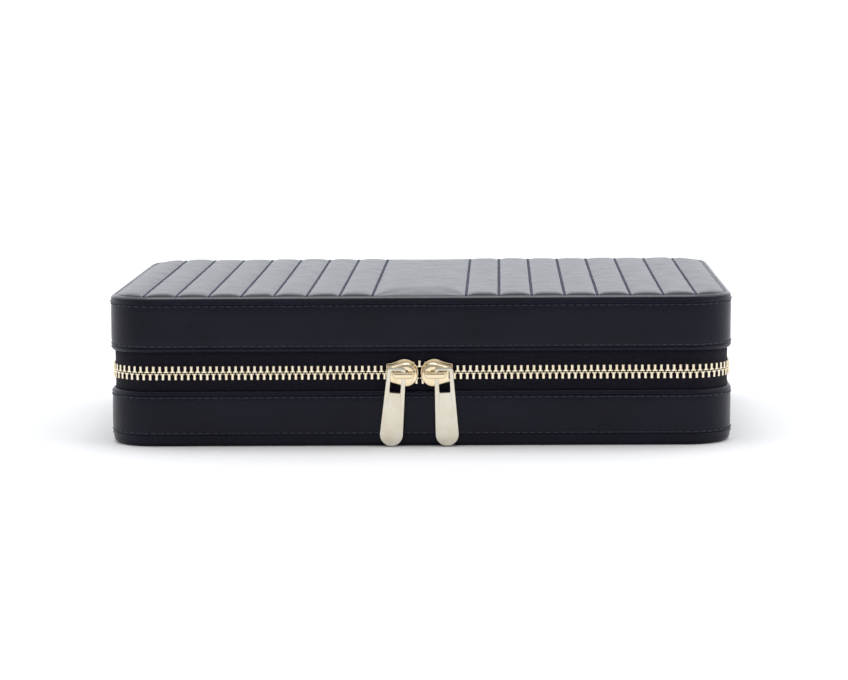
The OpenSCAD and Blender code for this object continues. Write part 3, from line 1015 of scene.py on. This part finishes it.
def curve_solid(name, loops, half_t, bevel):
    """A flat plate with holes and rounded edges, from closed outlines."""
    curve = bpy.data.curves.new(name, "CURVE")
    curve.dimensions = "2D"
    curve.fill_mode = "BOTH"
    curve.extrude = (half_t - bevel) * MM
    curve.bevel_depth = bevel * MM
    curve.bevel_resolution = 3
    for loop in loops:
        spline = curve.splines.new("POLY")
        spline.points.add(len(loop) - 1)
        spline.use_cyclic_u = True
        for point, (x, z) in zip(spline.points, loop):
            point.co = (x * MM, z * MM, 0, 1)
    carrier = link(bpy.data.objects.new(name, curve))
    graph = bpy.context.evaluated_depsgraph_get()
    mesh = bpy.data.meshes.new_from_object(carrier.evaluated_get(graph))
    bpy.data.objects.remove(carrier)
    bpy.data.curves.remove(curve)
    return link(bpy.data.objects.new(name, mesh))


def pull(side, name, tilt, node):
    """A flat pull with a window, hanging at its tilt from its peg."""
    bevel = 0.22
    # The outlines are drawn smaller by the bevel, which grows them back to their full size
    outline = shrink(pull_shape(PULL_LENGTH, PULL_TOP_W, PULL_END_W), bevel)
    window = shrink(window_shape(WINDOW_W, WINDOW_H, -WINDOW_DROP), -bevel)
    obj = curve_solid(name, [outline, window], PULL_THICK / 2, bevel)
    low, high = box_of(node)
    middle = 14.85
    sway = side * middle * math.tan(math.radians(tilt))
    stand = Matrix.Rotation(math.radians(90), 4, "X")
    shift = Matrix.Translation(Vector((-sway, 0, WINDOW_DROP + PEG_R + PEG_PLAY)) * MM)
    turn = Matrix.Rotation(math.radians(-side * tilt), 4, "Y")
    to_peg = Matrix.Translation(Vector((side * PEG_X, (low.y + high.y) / 2, ZIP + 0.2)) * MM)
    obj.data.transform(to_peg @ turn @ shift @ stand)
    weld(obj)
    obj.data.materials.clear()
    obj.data.materials.append(PULL_GOLD)
    flatten_faces(obj, 3)
    return obj


def flatten_faces(obj, area):
    """Shades large faces flat, so that rounded edges do not bleed over them; area in mm2."""
    for polygon in obj.data.polygons:
        polygon.use_smooth = polygon.area < area * MM * MM


def weld(obj):
    with editing(obj) as bm:
        bmesh.ops.remove_doubles(bm, verts=bm.verts, dist=0.004 * MM)
        bmesh.ops.recalc_face_normals(bm, faces=bm.faces)


def hardware():
    for side, word, tilt in ((-1, "left", 5.1), (1, "right", 2.7)):
        metal = slider(side, word + "_slider_metal")
        sharpen(metal, 55)
        dress(metal, word + "_slider", "pull_metal", word + "_slider_body")
        arch = bridge(side, word + "_bridge_metal")
        dress(arch, word + "_slider", "pull_metal", word + "_slider_bridge")
        tab = pull(side, word + "_pull_metal", tilt, word + "_pull")
        dress(tab, word + "_pull", "pull_metal", word + "_pull")


# ---------------------------------------------------------------- hinge
def spine():
    """The leather spine along the back, one piece between the base and the lid."""
    back, thick = HALF_D - 0.9, 1.15
    low, high = BASE_TOP - 3, LID_LOW + 3
    columns, rows = 60, 24

    def point(layer, i, j):
        x = -STRAIGHT_X + 2 * STRAIGHT_X * i / columns
        z = low + (high - low) * j / rows
        sewn = z < BASE_TOP + 0.2 or z > LID_LOW - 0.2
        tucked = (0.1 if layer else 0.5) if sewn else 0
        soft = 0.1 * noise.noise(Vector((x / 20, z / 6, 2.2)))
        return x, back - tucked + soft - thick * layer, z

    obj = grid_solid("spine_leather", columns, rows, point, BAND_LEATHER)
    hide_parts("hinge_leather_lower", "hinge_leather_upper")
    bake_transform(obj)
    return obj


# ---------------------------------------------------------------- inside of the base
def collar():
    """The padded wall inside the zip, covered in suede, with a rounded top edge."""
    r = (COLLAR_OUT - COLLAR_IN) / 2
    profile = [(COLLAR_IN, FLOOR)] + arc_points((COLLAR_IN + r, COLLAR_TOP - r), r, 180, 0, 9)
    profile += [(COLLAR_OUT, COLLAR_TOP - 8), (COLLAR_OUT, FLOOR)]
    obj = strip("collar_suede", profile, LINING, uneven=0.05)
    return dress(obj, "base", "covered_board", "base_collar")


def lining_tray():
    """Suede on the base's floor and behind the collar, with a hem over the edge of the wall board."""
    hem = BASE_TOP - 0.56
    profile = [(4.5, 3.6), (4.5, hem), (2.15, hem), (2.15, hem + 0.26), (2.4, hem + 0.36),
               (5.1, hem + 0.36), (5.3, hem + 0.2), (5.3, 3.6)]
    tray = strip("lining_suede_tray", profile, LINING)
    join(tray, outline_plate(5.35, 3.55, FLOOR - 0.05, LINING))
    sharpen(tray)
    return dress(tray, "base", "lining", "base_lining")


def padded_block(name, node, body, slot, material, radius=1.3):
    """A covered board or pad in a CAD node's box, with soft rounded edges and uneven faces."""
    obj = rounded_box(name, *box_of(node), radius, material, 4)
    with editing(obj) as bm:
        long_edges = [e for e in bm.edges if e.calc_length() > 9 * MM]
        bmesh.ops.subdivide_edges(bm, edges=long_edges, cuts=10, use_grid_fill=True)
        for v in bm.verts:
            v.co += v.normal * 0.12 * MM * noise.noise(v.co / MM / 9)
    shade_smooth(obj)
    return dress(obj, body, slot, node)


def inside_cavity(x, y):
    """Moves a point that lies outside the rounded corner of the collar's inner face onto it."""
    radius = CORNER - COLLAR_OUT - 0.15
    dx, dy = abs(x) - STRAIGHT_X, abs(y) - STRAIGHT_Y
    length = math.hypot(dx, dy)
    if dx <= 0 or dy <= 0 or length <= radius:
        return x, y
    scale = radius / length
    return math.copysign(STRAIGHT_X + dx * scale, x), math.copysign(STRAIGHT_Y + dy * scale, y)


def ring_roll(index):
    """A stuffed roll: fuller in the middle, gathered a little at both ends, and flat below."""
    node = "ring_roll_%d" % index
    low, high = box_of(node)
    centre, size = (low + high) / 2, high - low
    steps = 46
    rings = []
    for i in range(steps + 1):
        t = i / steps
        x = low.x + size.x * t
        end = min(t, 1 - t) * size.x
        pinch = 1 - 0.16 * math.exp(-end / 1.6) - (0.5 if i in (0, steps) else 0)
        ring = []
        for a in circle(26):
            s = math.sin(a)
            y = size.y / 2 * signed_power(math.cos(a), 0.8)
            z = size.z / 2 * (s if s > 0 else signed_power(s, 0.5))
            ripple = 1 + 0.018 * noise.noise(Vector((x / 6, a * 1.5, index * 3.3)))
            ripple += 0.03 * math.sin(a * 9) * math.exp(-end / 2.5)
            squash = pinch * ripple
            flat = max(0.0, -s)
            place_z = centre.z + z * (squash * (1 - flat) + flat)
            ring.append((*inside_cavity(x, centre.y + y * squash), place_z))
        rings.append(ring)
    obj = loft("ring_roll_suede_%d" % index, rings, ROLL_SUEDE)
    return dress(obj, "base", "ring_roll", node)


# ---------------------------------------------------------------- inside of the lid
def lid_lining():
    """Suede on the lid's ceiling and walls, with a hem and a padded rim over the collar."""
    hem = LID_LOW + 0.54
    profile = [(4.5, LID_LOW + 1.3), (4.5, hem), (2.15, hem), (2.15, hem - 0.26), (2.4, hem - 0.36),
               (4.9, hem - 0.36)]
    profile += arc_points((5.85, LID_LOW + 0.75), 0.65, 200, 340, 6)
    profile += [(7.15, LID_LOW + 1.0), (7.0, LID_LOW + 1.35), (5.6, LID_LOW + 1.6), (5.3, LID_LOW + 2.4),
                (5.3, CEILING + 0.1), (4.5, CEILING + 0.1)]
    walls = strip("lid_lining_walls", profile, LINING)
    join(walls, outline_plate(4.5, CEILING, CEILING + 1.15, LINING))
    sharpen(walls)
    walls.name = "lid_lining_suede"
    return dress(walls, "lid", "lining", "lid_lining")


def mirror_frame():
    """A padded suede frame whose lip overlaps the glass."""
    low, high = box_of("mirror_frame")
    centre, half = (low + high) / 2, (high - low) / 2
    border, top, corner_r, steps = 8.0, high.z - low.z - 0.05, 3.0, 12
    section = [(0.0, 0.4), (0.25, 0.0), (border - 0.9, -0.15), (border - 0.2, 0.1), (border, 0.5),
               (border, 0.88), (5.05, 0.88), (5.05, top), (0.0, top)]
    verts = []
    for sx, sy, first in ((1, 1, 0), (-1, 1, 90), (-1, -1, 180), (1, -1, 270)):
        for i in range(steps + 1):
            t = math.radians(first + 90 * i / steps)
            for inset, rise in section:
                radius = max(0.15, corner_r - inset)
                x = sx * (half.x - inset - radius) + radius * math.cos(t)
                y = sy * (half.y - inset - radius) + radius * math.sin(t)
                verts.append((centre.x + x, y, low.z + rise))
    n = len(section)
    count = len(verts) // n
    faces = []
    for i in range(count):
        a, b = i * n, (i + 1) % count * n
        faces += [(a + k, b + k, b + (k + 1) % n, a + (k + 1) % n) for k in range(n)]
    obj = face_outwards(make_object("mirror_frame_suede", verts, faces, ROLL_SUEDE))
    sharpen(obj, 50)
    return dress(obj, "lid", "covered_board", "mirror_frame")


def necklace_hooks():
    """Small bent hooks on round bases."""
    low, high = box_of("necklace_hooks")
    count, plate_r, bend_r, wire_r = 5, 2.2, 2.0, 0.85
    hook_y, bend_z = high.y - plate_r, low.z + 0.95
    verts, faces = [], []
    for i in range(count):
        x = low.x + plate_r + (high.x - low.x - 2 * plate_r) * i / (count - 1)
        path = [(hook_y, high.z), (hook_y, high.z - 0.3), (hook_y, low.z + 3)]
        bend = (0.2, 0.5, 0.8, 1.1, 1.4)
        path += [(hook_y - bend_r * math.sin(t), bend_z + bend_r * math.cos(t)) for t in bend]
        path += [(low.y + 0.3, bend_z), (low.y, bend_z + 0.03)]
        add_tube(verts, faces, [(x, y, z) for y, z in path], (1, 0, 0), wire_r, 12, 0.55)
        plate = ((plate_r, 0), (plate_r, 0.5), (plate_r - 0.25, 0.75), (0.9, 0.85))
        rings = [[(x + r * math.cos(t), hook_y + r * math.sin(t), high.z - drop) for t in circle(24)]
                 for r, drop in plate]
        add_rings(verts, faces, rings)
    obj = face_outwards(make_object("necklace_hooks_metal", verts, faces, PULL_GOLD))
    return dress(obj, "lid", "pull_metal", "necklace_hooks")


def chain_pocket():
    """A gathered suede pocket whose mouth faces the hooks."""
    low, high = box_of("chain_pocket")
    size = high - low
    columns, rows, thick = 48, 30, 0.9

    def point(layer, i, j):
        x, y = low.x + size.x * i / columns, low.y + size.y * j / rows
        side = min(i, columns - i) / columns * size.x
        end = (rows - j) / rows * size.y
        drop = min(1.0, side / 2.2) ** 0.5 * min(1.0, end / 2.5) ** 0.5
        gather = 0.28 * math.sin(x * 2.1) * math.exp((low.y - y) / 6) * drop
        return x, y, min(high.z, high.z - (size.z - thick * layer) * drop + gather)

    obj = grid_solid("chain_pocket_suede", columns, rows, point, ROLL_SUEDE)
    return dress(obj, "lid", "lining", "chain_pocket")


# ---------------------------------------------------------------- CAD nodes that stay
def finish_cad_nodes():
    """Gives the sealed boards, the wadding and the mirror their materials."""
    looks = {
        board_material(): ("base_floor_board", "base_wall_board", "lid_top_board", "lid_wall_board"),
        wadding_material(): ("base_wadding", "lid_wadding", "lid_foam_pad"),
        mirror_material(): ("mirror_glass",),
    }
    for material, names in looks.items():
        for name in names:
            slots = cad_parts[name].data.materials
            slots.clear()
            slots.append(material)


# ---------------------------------------------------------------- studio
CAMERA_AT = (31.0, -1191.5, 168.3)
CAMERA_YAW = -0.0263
CAMERA_PITCH = 0.1142
CAMERA_ROLL = -0.0076
FOCAL_PX = 2914.5
IMAGE_W = 848
WORLD_STRENGTH = 1.42
FLOOR_HALF = 40000


def pale_floor():
    material, tree, shader = new_material("studio_floor", Roughness=0.8, Specular_IOR_Level=0.2)
    tone = texture(tree, "Noise", 3, Detail=1)
    paint(tree, shader, tone, (0.2, (0.955, 0.953, 0.95)), (0.8, (0.975, 0.973, 0.97)))
    corners = [(x * FLOOR_HALF, y * FLOOR_HALF, 0) for x, y in ((-1, -1), (1, -1), (1, 1), (-1, 1))]
    make_object("floor", corners, [(0, 1, 2, 3)], material, False)


def studio():
    """A pale room, darker behind the camera, with soft light from above and a little from the right."""
    bpy.context.scene.view_settings.view_transform = "Standard"
    pale_floor()
    world = bpy.data.worlds.new("studio")
    bpy.context.scene.world = world
    world.use_nodes = True
    tree = world.node_tree
    tree.nodes.clear()
    out = tree.nodes.new("ShaderNodeOutputWorld")
    background = tree.nodes.new("ShaderNodeBackground")
    coords = tree.nodes.new("ShaderNodeTexCoord")
    split = tree.nodes.new("ShaderNodeSeparateXYZ")
    tree.links.new(coords.outputs["Generated"], split.inputs["Vector"])
    depth = remap(tree, split.outputs["Y"], From_Min=-1, From_Max=1)
    shade = ramp(tree, depth, [(0.0, (0.27, 0.27, 0.28)), (0.3, (0.36, 0.36, 0.375)),
                               (0.5, (0.83, 0.835, 0.855)), (0.7, (0.92, 0.945, 1.0))])
    tree.links.new(shade, background.inputs["Color"])
    background.inputs["Strength"].default_value = WORLD_STRENGTH
    tree.links.new(background.outputs["Background"], out.inputs["Surface"])
    softbox("overhead_softbox", (0, 200, 2600), (0, 0, 0), 1400, 13)
    sun("overhead_sun", 0.22, 50)
    softbox("right_softbox", (900, -500, 600), (0, 0, 30), 600, 1.2)


def softbox(name, place_at, aim_at, size, watts):
    light = bpy.data.lights.new(name, "AREA")
    light.size = size * MM
    light.energy = watts
    obj = link(bpy.data.objects.new(name, light))
    obj.location = Vector(place_at) * MM
    obj.rotation_euler = (Vector(aim_at) - Vector(place_at)).to_track_quat("-Z", "Y").to_euler()


def sun(name, watts, angle):
    """Even, soft light from straight above, so that the far floor is as pale as the near one."""
    light = bpy.data.lights.new(name, "SUN")
    light.energy = watts
    light.angle = math.radians(angle)
    link(bpy.data.objects.new(name, light))


def camera():
    """A long lens a little above the lid, at the photograph's angle."""
    data = bpy.data.cameras.new("camera")
    data.sensor_width = 36
    data.lens = FOCAL_PX / IMAGE_W * data.sensor_width
    data.clip_start, data.clip_end = 0.05, 50
    obj = bpy.data.objects.new("camera", data)
    level = math.cos(CAMERA_PITCH)
    forward = Vector((math.sin(CAMERA_YAW) * level, math.cos(CAMERA_YAW) * level, -math.sin(CAMERA_PITCH)))
    right = Vector((math.cos(CAMERA_YAW), -math.sin(CAMERA_YAW), 0))
    up = right.cross(forward)
    c, s = math.cos(CAMERA_ROLL), math.sin(CAMERA_ROLL)
    right, up = c * right + s * up, c * up - s * right
    matrix = Matrix((right, up, -forward)).transposed().to_4x4()
    matrix.translation = Vector(CAMERA_AT) * MM
    obj.matrix_world = matrix
    bpy.context.scene.camera = link(obj)


# ---------------------------------------------------------------- assembly
camera()
studio()

bottom_panel()
side_band("base_band_leather", BOTTOM_TURN + 0.1, BASE_SEAM - 0.1, "base", "base_side_band")
welt("base_zip_leather", BASE_TOP, BASE_SEAM, "base", "base_zip_binding")
side_band("lid_band_leather", LID_SEAM_LOW + 0.1, LID_SEAM, "lid", "lid_side_band")
welt("lid_zip_leather", LID_LOW, LID_SEAM_LOW, "lid", "lid_zip_binding")
top_binding()
quilted_top()
quilt_threads()
stitches("base_low_stitches", "base", "leather", EDGE_THREAD, 0.06, BOTTOM_TURN + 0.85)
stitches("base_high_stitches", "base", "leather", EDGE_THREAD, 0.06, BASE_SEAM - 0.85)
stitches("lid_low_stitches", "lid", "leather", EDGE_THREAD, 0.06, LID_SEAM_LOW + 0.85)
stitches("lid_high_stitches", "lid", "leather", EDGE_THREAD, 0.1, LID_SEAM - 0.5)

tape("base_tape_cloth", False, "base_zip_tape", "base")
tape("lid_tape_cloth", True, "lid_zip_tape", "lid")
teeth("base_teeth_metal", False, "base_zip_teeth", "base")
teeth("lid_teeth_metal", True, "lid_zip_teeth", "lid")
end_stops("base_stops_metal", "base_end_stops", "base")
end_stops("lid_stops_metal", "lid_end_stops", "lid")
hardware()
spine()

collar()
lining_tray()
for divider in ("main", "left", "right_long", "right_short"):
    padded_block("divider_suede_" + divider, "divider_" + divider, "base", "covered_board", LINING)
for number in range(1, 7):
    ring_roll(number)

lid_lining()
mirror_frame()
padded_block("hook_bar_suede", "necklace_hook_bar", "lid", "covered_board", ROLL_SUEDE, 0.9)
necklace_hooks()
chain_pocket()
finish_cad_nodes()
